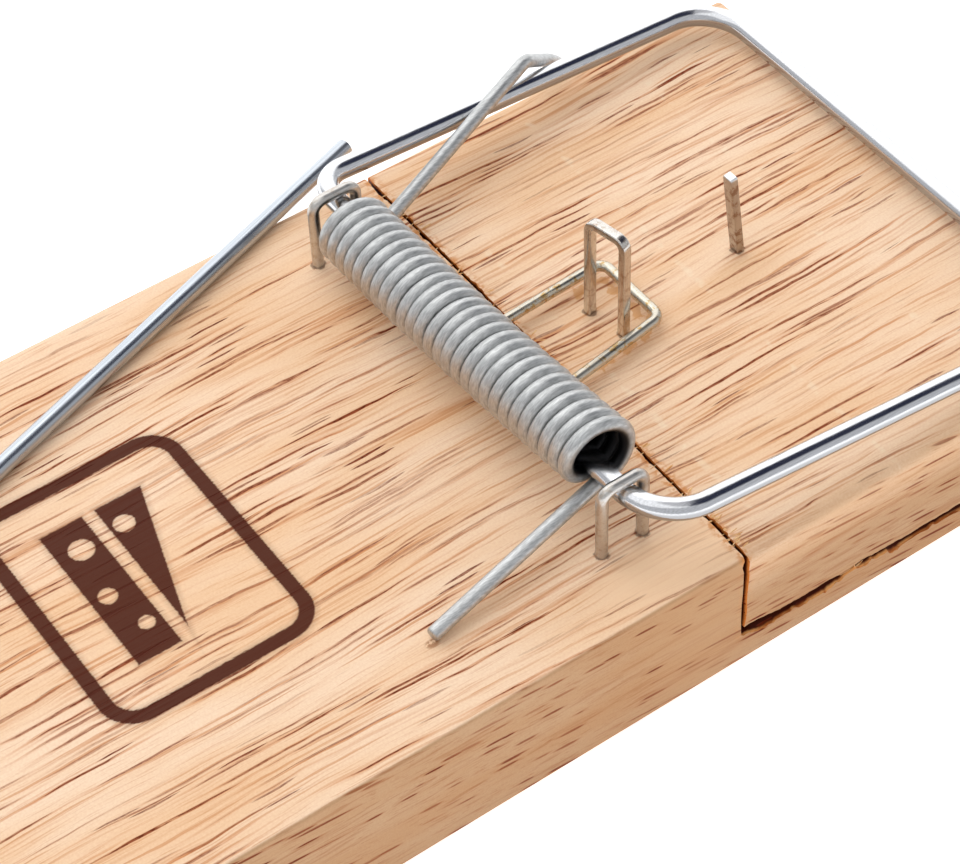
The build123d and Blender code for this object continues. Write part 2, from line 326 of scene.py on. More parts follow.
class Wood:
    """The wood of one piece, built up from its grain to the marks on it."""

    def __init__(self, graph, marked):
        self.graph = g = graph
        self.marked = marked
        self.point = millimetres(g)
        self.x, self.y, self.z = g.split(self.point)
        self.depth = g.times(self.z, -1.0)
        self.inner_y = g.math("MINIMUM", self.y, g.math("SUBTRACT", WIDTH, self.y))
        self.nx, self.ny, self.nz = object_normal(g)
        self.sideways = g.ramp(g.math("ABSOLUTE", self.ny), 0.25, 0.85)
        self.patchy = g.ramp(g.noise(self.point, 1.9, 3.0), 0.42, 0.6)
        self.grain, self.side_grain = self.grain_coordinates()
        self.pores, self.halo = self.vessels()
        self.fibres = self.fine_fibres()
        self.colour = self.ground_colour()

    def paint(self, amount, colour):
        self.colour = self.graph.mix(amount, self.colour, colour)

    def above(self, height):
        return self.graph.math("GREATER_THAN", self.z, height)

    def away_from(self, place_mm, scale=(1.0, 1.0, 1.0)):
        offset = self.graph.vector("SUBTRACT", self.point, place_mm)
        return self.graph.vector("LENGTH", self.graph.vector("MULTIPLY", offset, scale))

    def grain_coordinates(self):
        """Nearly along the block, wandering slowly, and leaning over near the near edge."""
        g = self.graph
        wander = streaks(g, self.point, (38.0, 16.0, 16.0), detail=1.0)
        bend = g.times(g.math("SUBTRACT", wander, 0.5), 3.4)
        lean = g.times(g.ramp(self.y, 13.0, 3.0), 0.06)
        clipped = g.math("MINIMUM", g.math("MAXIMUM", self.x, -34.0), 34.0)
        bend = g.math("MULTIPLY_ADD", clipped, lean, bend)
        wobble = streaks(g, self.point, (5.0, 1.6, 1.6))
        bend = g.math("MULTIPLY_ADD", g.math("SUBTRACT", wobble, 0.5), 0.5, bend)
        across = g.math("ADD", self.y, bend)
        # The grain rises very little along the top, and a few degrees along the sides
        return (g.join(self.x, across, g.math("MULTIPLY_ADD", self.x, TOP_RISE, self.z)),
                g.join(self.x, across, g.math("MULTIPLY_ADD", self.x, SIDE_RISE, self.z)))

    def vessels(self):
        """Long broken lines and short ones on the top, short dashes in clusters on the sides."""
        g = self.graph
        long_lines, long_halo = pore_layer(g, self.grain, *LONG_LINES)
        more_lines, more_halo = pore_layer(g, self.grain, *MORE_LINES)
        short_lines, _ = pore_layer(g, self.grain, *SHORT_LINES)
        short_dashes, short_glow = pore_layer(g, self.side_grain, *SHORT_DASHES)
        long_dashes, long_glow = pore_layer(g, self.side_grain, *LONG_DASHES)
        topside = g.math("SUBTRACT", 1.0, self.sideways)
        cluster = g.ramp(streaks(g, self.side_grain, (14.0, 3.0, 3.0), 8.0, 1.0), 0.36, 0.54, 0.4, 1.0)
        dashes = g.times(g.math("MAXIMUM", short_dashes, long_dashes), self.sideways, cluster)
        glow = g.times(g.math("MAXIMUM", short_glow, long_glow), self.sideways)
        broken = g.ramp(streaks(g, self.grain, (4.2, 0.3, 0.3), 9.0, 3.0, 0.6), 0.38, 0.52)
        crowd = g.ramp(streaks(g, self.grain, (40.0, 5.0, 5.0), 5.0, 1.0), 0.32, 0.54, 0.35, 1.0)
        lines = g.times(g.math("MAXIMUM", long_lines, more_lines), broken)
        lines = g.times(g.math("MAXIMUM", lines, short_lines), crowd, topside)
        halo = g.times(g.math("MAXIMUM", long_halo, more_halo), crowd, topside)
        return g.math("MAXIMUM", lines, dashes), g.math("MAXIMUM", halo, glow)

    def fine_fibres(self):
        g = self.graph
        top = streaks(g, self.grain, (5.0, 0.14, 0.14), 1.0, 3.0, 0.6)
        side = streaks(g, self.side_grain, (5.0, 0.14, 0.14), 1.0, 3.0, 0.6)
        return g.math("ADD", top, g.times(g.math("SUBTRACT", side, top), self.sideways))

    def ground_colour(self):
        """Growth bands, fibres, soft streaks, faint lines and grit."""
        g = self.graph
        rings = streaks(g, self.side_grain, (70.0, 2.6, 2.6), 2.0)
        blotch = streaks(g, self.point, (22.0, 9.0, 9.0), 7.0)
        tone = g.ramp(g.math("MULTIPLY_ADD", blotch, 0.6, g.times(rings, 0.6)), 0.42, 0.78)
        ground = g.mix(tone, LIGHT_WOOD, MID_WOOD)
        ground = g.mix(g.ramp(self.fibres, 0.52, 0.74, 0.0, 0.46), ground, FIBRE_WOOD)
        soft = g.ramp(streaks(g, self.grain, (24.0, 0.5, 0.5), 23.0), 0.56, 0.7, 0.0, 0.36)
        ground = g.mix(soft, ground, FIBRE_WOOD)
        faint, _ = pore_layer(g, self.grain, *FAINT_LINES)
        faint = g.times(faint, g.math("SUBTRACT", 0.62, g.times(self.sideways, 0.62)))
        ground = g.mix(faint, ground, FIBRE_WOOD)
        ground = g.mix(g.times(self.halo, 0.55), ground, HALO_WOOD)
        grit = g.ramp(g.noise(self.point, 5.5), 0.25, 0.75, 0.0, 0.14)
        return g.mix(grit, ground, FIBRE_WOOD)

    def clear_patch_painted_light(self):
        """A clearer patch of wood in front of the near staple, with fewer pores; its warmer colour is
        painted light that offsets the shadow of the coil and jaw there.
        """
        g = self.graph
        clear = g.ramp(self.away_from(CLEAR_PATCH, (0.11, 0.24, 0.02)), 1.0, 0.4, 0.0, 0.7)
        self.paint(clear, CLEAR_WOOD_PAINTED_LIGHT)
        self.pores = g.times(self.pores, g.math("SUBTRACT", 1.0, g.times(clear, 0.7)))

    def tone_and_shade_sides(self):
        """Side faces take the darker side-grain colour and painted shade; on the treadle, whose edge is
        worn round, the painted shade grows slowly downwards.
        """
        g = self.graph
        shade = g.mix(1.0, self.colour, SIDE_TONE_AND_SHADE, "MULTIPLY")
        amount = self.sideways
        if not self.marked:
            amount = g.times(amount, g.ramp(self.depth, 0.3, 5.5, 0.3, 1.0))
        self.paint(amount, shade)

    def planer_marks(self):
        g = self.graph
        for mark_x in PLANER_MARKS:
            stripe = g.ramp(g.math("ABSOLUTE", g.math("SUBTRACT", self.x, mark_x)), 0.45, 0.1)
            patch = g.ramp(streaks(g, self.point, (1.5, 1.0, 9.0), mark_x), 0.52, 0.66, 0.0, 0.32)
            self.paint(g.times(stripe, self.above(PLANED_SKIN), patch), PLANED_WOOD)

    def saw_cut(self):
        """Torn and orange along its edges, pale where it has just splintered, and painted dark deep down
        as painted shade.
        """
        g = self.graph
        from_cut = g.math("ABSOLUTE", self.x)
        edge = g.times(g.ramp(from_cut, 0.9, 0.2), g.ramp(self.depth, 1.0, 0.2, 0.25, 1.0))
        self.paint(g.times(edge, self.above(LEDGE_TOP), self.patchy, 0.85), CUT_WOOD)
        facing = g.ramp(g.math("ABSOLUTE", self.nx), 0.35, 0.7)
        wall = g.times(facing, g.math("LESS_THAN", from_cut, 1.2))
        # Painted shade: the walls darken away from the top face and the sides, deep in the narrow cut
        deep_cut_shade = g.ramp(g.math("MINIMUM", self.inner_y, self.depth), 0.08, 0.36)
        self.paint(wall, g.mix(deep_cut_shade, PALE_CUT, DARK_CUT))

    def split_faces(self):
        """Pale and torn at the mouth of the cleft, and painted dark inside as painted shade."""
        g = self.graph
        at_split = g.times(g.math("LESS_THAN", self.z, SPLIT_TOP), self.above(SPLIT_BOTTOM))
        face = g.times(at_split, g.ramp(g.math("ABSOLUTE", self.nz), 0.2, 0.45))
        inner_end = g.math("SUBTRACT", RIGHT_END, self.x)
        # Painted shade: darker away from the sides and the far end, deep in the cleft
        inside = g.ramp(g.math("MINIMUM", self.inner_y, inner_end), 0.08, 0.26)
        torn_patches = g.ramp(streaks(g, self.point, (2.6, 0.5, 0.5), 3.0, 3.0), 0.42, 0.62)
        mouth = g.mix(torn_patches, SPLIT_WOOD, TORN_WOOD)
        self.paint(face, g.mix(inside, mouth, DARK_CUT))

    def leg_rings(self):
        """Darker rings round the driven legs."""
        g = self.graph
        nearest = g.least([self.away_from((*foot, 0.0), IN_PLANE) for foot in LEG_FEET])
        ring = g.ramp(g.math("MULTIPLY_ADD", self.patchy, -0.1, nearest), 0.58, 0.44, 0.0, 0.6)
        self.paint(g.times(ring, self.above(TOP_SKIN)), DARK_CUT)

    def loop_trace(self):
        """A brown trace beside the wire loop."""
        g = self.graph
        reach = g.least([near_segment(g, self.point, *ends) for ends in LOOP_TRACE_LINES])
        blots = g.math("MULTIPLY_ADD", g.noise(self.point, 1.3, 3.0), -2.6, reach)
        self.paint(g.times(g.ramp(blots, -0.78, -1.1, 0.0, 0.6), self.above(TOP_SKIN)), LOOP_TRACE_BROWN)

    def draw_pores(self):
        """Dark lines, with still darker dots along them."""
        g = self.graph
        self.paint(g.times(self.pores, 0.95), PORE_WOOD)
        dots = g.ramp(streaks(g, self.point, (0.5, 0.22, 0.22), 4.0), 0.46, 0.6, 0.0, 0.9)
        dots = g.math("MAXIMUM", dots, g.times(self.sideways, 0.6))
        self.paint(g.times(self.pores, self.pores, dots), DOT_WOOD)

    def burn(self):
        g = self.graph
        burnt, scorch = burnt_mark(g, self.point)
        self.paint(g.times(scorch, 0.22), BURNT_WOOD)
        self.paint(g.times(burnt, 0.965), BURNT_WOOD)
        return burnt

    def tail_dent(self):
        """A small dent where the spring's tail has been driven along the wood."""
        g = self.graph
        dent = g.ramp(self.away_from(TAIL_DENT, (1.0, 1.5, 0.5)), 0.7, 0.35)
        ragged = g.ramp(g.noise(self.point, 3.0), 0.35, 0.5)
        self.paint(g.times(dent, ragged, 0.75), DENT_WOOD)


def wood_material(name, marked):
    """Pale open-pored hardwood; the marked piece carries the burnt mark."""
    made, g, shader = material(name)
    wood = Wood(g, marked)
    if marked:
        wood.clear_patch_painted_light()
    wood.tone_and_shade_sides()
    wood.planer_marks()
    wood.saw_cut()
    wood.split_faces()
    wood.leg_rings()
    if not marked:
        wood.loop_trace()
    wood.draw_pores()
    relief = g.math("MULTIPLY_ADD", wood.pores, -1.0, g.times(wood.fibres, 0.3))
    if marked:
        burnt = wood.burn()
        wood.tail_dent()
        relief = g.math("MULTIPLY_ADD", burnt, -0.8, relief)
    g.set(shader.inputs["Base Color"], wood.colour)
    shader.inputs["Roughness"].default_value = 0.52
    shader.inputs["Specular IOR Level"].default_value = 0.08
    g.set(shader.inputs["Normal"], g.bump(relief, 0.6, 0.09 * MM))
    return made


def fibre_material():
    """Freshly torn wood fibres."""
    made, g, shader = material("torn_fibre")
    point = millimetres(g)
    streak = streaks(g, point, (1.2, 0.08, 0.08), detail=3.0)
    shader.inputs["Roughness"].default_value = 0.6
    shader.inputs["Specular IOR Level"].default_value = 0.12
    g.set(shader.inputs["Base Color"], g.mix(g.ramp(streak, 0.35, 0.65), PALE_FIBRE, DARK_FIBRE))
    g.set(shader.inputs["Normal"], g.bump(streak, 0.5, 0.03 * MM))
    return made


# ------------------------------------------------------------------ metal
# Painted shade for the inside of the coil
BORE_SHADE_DARK = (0.03, 0.03, 0.032, 1.0)
FRESH_CUT = (0.86, 0.87, 0.88, 1.0)
DRAWN_SHADE = 0.55
# Share of the colour left on the wire's underside, as painted shade
UNDERSIDE_SHADE = 0.56


def darker(colour, share):
    return tuple(part * share for part in colour[:3]) + (1.0,)


def wire_material(name, colour, roughness, lines=0.3, wear=None, wear_amount=0.0,
                  axis_lengths=(4.0, 0.07, 0.07), yaw=0.0, shaded_bore=False, tip=None, shade_below=None):
    """Drawn wire: fine draw lines, scuffs in the roughness, and thin worn patches in the plating."""
    made, g, shader = material(name)
    point = millimetres(g)
    turned = g.add("ShaderNodeVectorRotate", {"Vector": point, "Angle": -math.radians(yaw)},
                   rotation_type="Z_AXIS").outputs[0]
    drawn = streaks(g, turned, axis_lengths)
    scuff = streaks(g, turned, (6.0, 1.0, 1.0), detail=3.0, rough=0.55)
    shine = g.ramp(scuff, 0.3, 0.7, roughness * 0.88, roughness * 1.15)
    g.set(shader.inputs["Roughness"], shine)
    tone = g.mix(g.ramp(drawn, 0.3, 0.7, 0.0, lines), colour, darker(colour, DRAWN_SHADE))
    if wear:
        patch = g.ramp(g.noise(point, 1.7, 5.0, 0.7), 0.5, 0.62, 0.0, wear_amount)
        tone = g.mix(patch, tone, wear)
    if shaded_bore:
        # Painted shade: the inside of the coil is painted dark
        along = (COIL_FAR - COIL_NEAR).normalized()
        offset = g.vector("SUBTRACT", point, tuple(COIL_NEAR))
        run = g.vector("DOT_PRODUCT", offset, tuple(along))
        foot = g.join(*(g.times(run, part) for part in along))
        out = g.vector("LENGTH", g.vector("SUBTRACT", offset, foot))
        tone = g.mix(g.ramp(out, 2.45, 2.0), tone, BORE_SHADE_DARK)
    if tip is not None:
        # Bright where the wire was cut off
        fresh = g.ramp(g.split(point)[2], tip - 0.35, tip - 0.1)
        tone = g.mix(fresh, tone, FRESH_CUT)
    if shade_below is not None:
        # Painted shade: the underside of the wire is painted darker
        rising = object_normal(g)[2]
        under = g.ramp(rising, shade_below + 0.12, shade_below - 0.12)
        tone = g.mix(under, tone, darker(colour, UNDERSIDE_SHADE))
    g.set(shader.inputs["Base Color"], tone)
    shader.inputs["Metallic"].default_value = 1.0
    g.set(shader.inputs["Normal"], g.bump(drawn, 0.12, 0.02 * MM))
    return made


# ------------------------------------------------------------------ mesh helpers
def mesh_object(name, vertices, faces, smooth=True, place_in_row=True):
    """A mesh from points in millimetres, taken from saw cut, near edge and top face."""
    data = bpy.data.meshes.new(name)
    points = [place(*v) for v in vertices] if place_in_row else vertices
    data.from_pydata(points, [], faces)
    data.validate()
    data.update()
    for polygon in data.polygons:
        polygon.use_smooth = smooth
    made = bpy.data.objects.new(name, data)
    bpy.context.scene.collection.objects.link(made)
    return made


def outward(obj):
    bm = bmesh.new()
    bm.from_mesh(obj.data)
    bmesh.ops.recalc_face_normals(bm, faces=bm.faces)
    bm.to_mesh(obj.data)
    bm.free()


def interpolate(table, value):
    """Height of a broken line of (place, height) points."""
    for (x0, h0), (x1, h1) in zip(table[:-1], table[1:]):
        if value <= x1:
            return h0 + (h1 - h0) * max(0.0, value - x0) / (x1 - x0)
    return table[-1][1]


def rounded_path(points, radii, step=12.0):
    """Points along straight runs joined by arcs, one radius for each inner corner."""
    corners = [Vector(p) for p in points]
    path = [corners[0]]
    for before, corner, after, radius in zip(corners[:-2], corners[1:-1], corners[2:], radii):
        back = (before - corner).normalized()
        ahead = (after - corner).normalized()
        half = back.angle(ahead) / 2
        reach = radius / math.tan(half)
        centre = corner + (back + ahead).normalized() * (radius / math.sin(half))
        first = corner + back * reach - centre
        turn = math.pi - 2 * half
        axis = first.cross(corner + ahead * reach - centre)
        count = max(3, round(math.degrees(turn) / step))
        for index in range(count + 1):
            path.append(centre + Matrix.Rotation(turn * index / count, 3, axis) @ first)
    path.append(corners[-1])
    return path


def circle(sides):
    return [(math.cos(2 * math.pi * k / sides), math.sin(2 * math.pi * k / sides)) for k in range(sides)]


def rounded_rectangle(half_width, half_height, corner, steps=4):
    """Cross section of flattened wire, as distances sideways and upwards."""
    outline = []
    for sign_x, sign_y, start in ((1, 1, 0), (-1, 1, 90), (-1, -1, 180), (1, -1, 270)):
        for step in range(steps + 1):
            angle = math.radians(start + 90 * step / steps)
            outline.append((sign_x * (half_width - corner) + corner * math.cos(angle),
                            sign_y * (half_height - corner) + corner * math.sin(angle)))
    return outline


def loft_faces(rings, count, first=0, turned=True):
    """Faces of a closed skin over rings of count points each; a turned first cap runs the other way."""
    faces = []
    for ring in range(rings - 1):
        for k in range(count):
            a = first + ring * count + k
            b = first + ring * count + (k + 1) % count
            faces.append((a, b, b + count, a + count))
    cap = range(first, first + count)
    last = first + (rings - 1) * count
    faces.append(tuple(reversed(cap)) if turned else tuple(cap))
    faces.append(tuple(range(last, last + count)))
    return faces


def lofted(name, rings, smooth=True, turned=True):
    """A closed mesh over rings that all have the same number of points."""
    vertices = [point for ring in rings for point in ring]
    faces = loft_faces(len(rings), len(rings[0]), turned=turned)
    return mesh_object(name, vertices, faces, smooth)


def tube(name, path, profile, scale_at, first_side=None):
    """Wire of any section along a path, closed at both ends; scale_at gives its size at each point."""
    tangents = []
    for index in range(len(path)):
        before = path[max(index - 1, 0)]
        after = path[min(index + 1, len(path) - 1)]
        tangents.append((after - before).normalized())
    side = first_side or tangents[0].orthogonal().normalized()
    rings = []
    for index, (point, tangent) in enumerate(zip(path, tangents)):
        side = (side - tangent * side.dot(tangent)).normalized()
        up = tangent.cross(side)
        size = scale_at(index, len(path))
        rings.append([point + side * (across * size) + up * (rise * size)
                      for across, rise in profile])
    made = lofted(name, rings)
    outward(made)
    return made


# ------------------------------------------------------------------ wooden pieces
BASE_NEAR_EDGE = 0.32
TREADLE_NEAR_EDGE = 0.85
FAR_EDGE = 0.4
BOTTOM_EDGE = 0.22
EDGE_STEPS = 7
END_ROUNDING = ((0.0, 0.4), (0.06, 0.2), (0.18, 0.07), (0.4, 0.0))
STATION_STEP = 2.0


def block_ring(x, inset, near_edge):
    """Outline of the block across its length: up the near side, over the top and down the far side."""
    low_y, high_y = inset, WIDTH - inset
    low_z, high_z = -THICKNESS + inset, -inset
    ring = []
    corners = ((low_y, low_z, BOTTOM_EDGE, 180), (low_y, high_z, near_edge, 90),
               (high_y, high_z, FAR_EDGE, 0), (high_y, low_z, BOTTOM_EDGE, -90))
    for cy, cz, radius, start in corners:
        sy = 1 if cy == low_y else -1
        sz = 1 if cz == low_z else -1
        for step in range(EDGE_STEPS + 1):
            angle = math.radians(start + 90 - 90 * step / EDGE_STEPS)
            ring.append((x, cy + sy * radius + math.cos(angle) * radius,
                         cz + sz * radius + math.sin(angle) * radius))
    return ring


def rounded_block(name, near_edge):
    """The whole block before sawing, with softened edges."""
    stations = [(LEFT_END + inward, inset) for inward, inset in END_ROUNDING]
    x = LEFT_END + 3.0
    while x < RIGHT_END - 2.0:
        stations.append((x, 0.0))
        x += STATION_STEP
    stations += [(RIGHT_END - inward, inset) for inward, inset in reversed(END_ROUNDING)]
    made = lofted(name, [block_ring(sx, inset, near_edge) for sx, inset in stations], turned=False)
    outward(made)
    return made


def rough(x, y, z, scale, seed):
    return noise.noise(Vector((x * scale[0] + seed, y * scale[1], z * scale[2])))


def torn(value, seed):
    """How far fibres are broken away beside the saw cut, along the cut."""
    broad = noise.noise(Vector((value * 0.45 + seed, seed, 0.0)))
    sharp = noise.noise(Vector((value * 2.3 + seed, 4.0 * seed, 3.0)))
    return max(0.0, broad * 0.9 + sharp * 0.55 - 0.12)


# Grid of the cutting solid, which stands out past the block on every side
CUTTER_MARGIN = 3.0
CUTTER_STEP = 0.25
CUTTER_TOP = 4.0
CUTTER_END = 45.0
WALL_HEIGHTS = (CUTTER_TOP, 1.0, 0.05, -0.12, -0.3, -0.55, -0.9, -1.5, -2.2, -3.0, -4.0, -5.0, -6.0, -7.0)
FLOOR_RUNS = ((0.25, 0.25, 60), (15.4, 0.4, 20), (24.0, 1.5, 12))

# How deep the torn places reach from the top face, the sides and the near side
CHIP_DEPTH = 0.9
BEVEL_DEPTH = 0.4
BEVEL = 0.1
SIDE_CHIP_DEPTH = 0.8
LIP_DEPTH = 0.62
WALL_RIPPLE = 0.04

# Each piece: its side of the cleft, place of the wall, size of the chips, pattern and broken lip
BASE_CLEFT = {"profile": LEDGE, "wall": -0.11, "chip": -0.34, "seed": 2.3, "lip": 0.75}
TREADLE_CLEFT = {"profile": UNDERSIDE, "wall": 0.12, "chip": 0.4, "seed": 8.9, "lip": -0.2}


def wall_shift(y, z, chip, seed):
    """How far the wall of the saw cut is torn away; the noise only ever widens the cut."""
    from_side = min(abs(y), abs(WIDTH - y))
    lift = max(0.0, 1.0 + z / CHIP_DEPTH) if z < 0 else 1.0
    shift = chip * torn(y, seed) * lift * lift
    ripple = rough(0.0, y, z, (1.0, 1.4, 1.1), seed) + rough(0.0, y, z, (1.0, 0.35, 0.5), seed + 9)
    shift += math.copysign(WALL_RIPPLE * max(0.0, 0.4 + ripple), chip)
    if from_side < BEVEL_DEPTH:
        shift += math.copysign(BEVEL * (1.0 - from_side / BEVEL_DEPTH), chip)
    if from_side < SIDE_CHIP_DEPTH:
        side_chip = chip * 0.9 * torn(z * 1.3 + 40.0, seed)
        shift += side_chip * (1.0 - from_side / SIDE_CHIP_DEPTH)
    return shift


def cleft_height(x, y, profile, lip, seed):
    """Height of the split face, rippled, with the lip broken away along the near side."""
    ripple = (0.11 * rough(x, y, 0.0, (0.35, 2.2, 1.0), seed)
              + 0.05 * rough(x, y, 0.0, (1.4, 4.0, 1.0), seed + 5))
    broken = 0.55 + 0.9 * rough(x, 0.0, 0.0, (0.5, 1.0, 1.0), seed + 2)
    broken += 0.5 * rough(x, 0.0, 0.0, (2.1, 1.0, 1.0), seed + 3)
    broken = lip * max(0.0, broken) * max(0.0, 1.0 - max(0.0, y) / LIP_DEPTH)
    return -interpolate(profile, x) + ripple * min(1.0, x) - broken


def cleft_cutter(name, profile, wall, chip, seed, lip):
    """Closed solid over everything right of the saw cut and above the cleft, with torn faces."""
    steps = int((WIDTH + 2 * CUTTER_MARGIN) / CUTTER_STEP) + 1
    xs = [first + step * k for first, step, count in FLOOR_RUNS for k in range(count)]
    corner = interpolate(profile, 0.0)
    columns = []
    for index in range(steps):
        y = -CUTTER_MARGIN + CUTTER_STEP * index
        column = [(wall + wall_shift(y, z, chip, seed), y, z) for z in WALL_HEIGHTS]
        column.append((wall + 0.03 * rough(0.0, y, -corner, (1.0, 1.4, 1.0), seed), y, -corner))
        column += [(wall + x, y, cleft_height(x, y, profile, lip, seed)) for x in xs]
        column.append((CUTTER_END, y, column[-1][2]))
        column.append((CUTTER_END, y, CUTTER_TOP))
        columns.append(column)
    made = lofted(name, columns, smooth=False)
    bm = bmesh.new()
    bm.from_mesh(made.data)
    bmesh.ops.triangulate(bm, faces=[face for face in bm.faces if len(face.verts) > 4])
    bmesh.ops.recalc_face_normals(bm, faces=bm.faces)
    bm.to_mesh(made.data)
    bm.free()
    return made


def carve(body, cutter, operation):
    modifier = body.modifiers.new("cleft", "BOOLEAN")
    modifier.operation = operation
    modifier.solver = "EXACT"
    modifier.object = cutter
    apply_modifiers(body)
    bpy.data.objects.remove(cutter)


def apply_modifiers(obj):
    graph = bpy.context.evaluated_depsgraph_get()
    graph.update()
    baked = bpy.data.meshes.new_from_object(obj.evaluated_get(graph))
    obj.modifiers.clear()
    obj.data = baked


def smooth_by_angle(obj, degrees):
    """Smooth shading, with edges sharper than the angle kept crisp."""
    bm = bmesh.new()
    bm.from_mesh(obj.data)
    limit = math.radians(degrees)
    for face in bm.faces:
        face.smooth = True
    for edge in bm.edges:
        edge.smooth = len(edge.link_faces) == 2 and edge.calc_face_angle(math.pi) < limit
    bm.to_mesh(obj.data)
    bm.free()


def give(obj, made):
    obj.data.materials.clear()
    obj.data.materials.append(made)


FLAKE_SHARES = (0.0, 0.12, 0.35, 0.65, 0.88, 1.0)
FLAKE_OUTLINE = ((1, 0), (0, 1), (-1, 0), (0, -1))
BRIDGE = (((10.35, 0.13, -8.62), (0.25, 0.0, -1.0), 1.25, 0.2, 0.1),
          ((10.75, 0.13, -8.75), (1.0, 0.0, 0.35), 0.9, 0.16, 0.1),
          ((9.7, 0.13, -8.72), (1.0, 0.0, 0.12), 1.4, 0.14, 0.09))


def flake_points(middle, direction, length, width, thickness):
    """A thin flake, pointed at both ends and slightly curled."""
    along = Vector(direction).normalized()
    side = along.cross(Vector((0.0, 0.0, 1.0)))
    side = (side if side.length > 0.2 else along.cross(Vector((0.0, 1.0, 0.0)))).normalized()
    up = side.cross(along)
    points = []
    for share in FLAKE_SHARES:
        fat = max(0.04, math.sin(math.pi * share) ** 0.7)
        curl = thickness * (share - 0.5) ** 2
        centre = Vector(middle) + along * (length * (share - 0.5)) + up * curl
        points += [centre + side * (a * width / 2 * fat) + up * (b * thickness / 2 * fat)
                   for a, b in FLAKE_OUTLINE]
    return points


def slivers(name, spots):
    """Flakes of torn wood: (middle, direction, length, width, thickness) for each."""
    vertices, faces = [], []
    for spot in spots:
        faces += loft_faces(len(FLAKE_SHARES), len(FLAKE_OUTLINE), len(vertices))
        vertices += flake_points(*spot)
    made = mesh_object(name, vertices, faces, smooth=False)
    outward(made)
    give(made, FIBRES)
    return made


FLAKE_SEED = 11
LEFT_FLAKES = 56
RIGHT_FLAKES = 46


def make_splinters():
    """Flakes along both sides of the saw cut, and splinters that bridge the cleft on the near side."""
    draw = random.Random(FLAKE_SEED)
    left, right = [], []
    for _ in range(LEFT_FLAKES):
        y = draw.uniform(0.7, 46.3)
        middle = (draw.uniform(-0.32, 0.06), y, draw.uniform(-0.05, 0.02))
        direction = (1.0, draw.uniform(-0.5, 0.5), draw.uniform(-0.05, 0.12))
        left.append((middle, direction, draw.uniform(0.2, 0.75), draw.uniform(0.05, 0.15), 0.09))
    for _ in range(RIGHT_FLAKES):
        # Half of them stand near the near edge
        y = draw.choice((draw.uniform(0.9, 5.0), draw.uniform(0.9, 46.3)))
        length = draw.uniform(0.25, 1.0)
        middle = (0.14 + length / 2 + draw.uniform(0.0, 0.15), y, draw.uniform(-0.05, 0.02))
        direction = (1.0, draw.uniform(-0.6, 0.4), draw.uniform(-0.02, 0.1))
        right.append((middle, direction, length, draw.uniform(0.06, 0.22), 0.1))
    left += BRIDGE
    for name, spots, body in (("base_splinters", left, "base"), ("treadle_splinters", right, "treadle")):
        flakes = slivers(name, spots)
        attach(flakes, body)


def make_wood():
    base = rounded_block("base_block_wood", BASE_NEAR_EDGE)
    carve(base, cleft_cutter("base_cleft", **BASE_CLEFT), "DIFFERENCE")
    smooth_by_angle(base, 32)
    give(base, wood_material("pore_wood_branded", True))
    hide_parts("base_block")
    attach(base, "base")
    treadle = rounded_block("treadle_wood", TREADLE_NEAR_EDGE)
    carve(treadle, cleft_cutter("treadle_cleft", **TREADLE_CLEFT), "INTERSECT")
    smooth_by_angle(treadle, 32)
    give(treadle, wood_material("pore_wood", False))
    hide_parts("treadle")
    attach(treadle, "treadle")


# ------------------------------------------------------------------ spring
COIL_NEAR = Vector((-5.5, 9.3, 5.9))
COIL_FAR = Vector((-6.0, 39.5, 4.05))
COIL_RADIUS = 2.4
COIL_TURNS = 27
SPRING_WIRE = 0.55
NEAR_TIP = Vector((-21.4, 6.95, 0.57))
FAR_BEND = Vector((14.0, 45.2, 5.62))
FAR_TIP = Vector((19.5, 48.0, 0.96))
COIL_START = 10.4
POINTS_PER_TURN = 30
TAIL_LEAD = 1.6
NEAR_TIP_STEPS = (0.08, 0.2)
NEAR_TIP_RADII = {0: 0.42, 1: 0.51}
HOOK_STEPS = (3.0, 2.1, 1.3, 0.6)
HOOK_RADII = {1: 0.1, 2: 0.24, 3: 0.36, 4: 0.46, 5: 0.53}


def coil_point(turn):
    """Point of the coil's wire after this many turns, with a slightly uneven pitch."""
    share = turn / COIL_TURNS
    angle = math.radians(COIL_START) + 2 * math.pi * turn
    centre = COIL_NEAR.lerp(COIL_FAR, share)
    sag = 4 * share * (1 - share)
    radius = COIL_RADIUS + 0.03 * math.sin(turn * 2.1) * sag
    return Vector((centre.x - 0.16 * sag + math.sin(angle) * radius,
                   centre.y + 0.05 * math.sin(turn * 1.7) * sag,
                   centre.z - 0.2 * sag - math.cos(angle) * radius))


def make_spring():
    """Near tail on the block, close coil round the axle, and a hooked and pointed far tail."""
    coil = [coil_point(k / POINTS_PER_TURN) for k in range(COIL_TURNS * POINTS_PER_TURN + 1)]
    near_lead = coil[0] + (coil[0] - coil[1]).normalized() * TAIL_LEAD
    far_lead = coil[-1] + (coil[-1] - coil[-2]).normalized() * TAIL_LEAD
    near_tail = rounded_path([NEAR_TIP, near_lead, coil[0]], [6.0], 2.0)
    far_tail = rounded_path([coil[-1], far_lead, FAR_BEND, FAR_TIP], [6.0, 1.2], 3.0)
    near_along = (near_lead - NEAR_TIP).normalized()
    far_along = (FAR_TIP - FAR_BEND).normalized()
    path = [NEAR_TIP] + [NEAR_TIP + near_along * step for step in NEAR_TIP_STEPS]
    path += near_tail[1:-1] + coil + far_tail[1:-1]
    path += [FAR_TIP - far_along * back for back in HOOK_STEPS] + [FAR_TIP]

    def radius_at(index, count):
        return NEAR_TIP_RADII.get(index, HOOK_RADII.get(count - index, SPRING_WIRE))

    spring = tube("spring_wire", path, circle(18), radius_at)
    give(spring, SPRING_METAL)
    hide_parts("torsion_spring")
    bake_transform(spring)


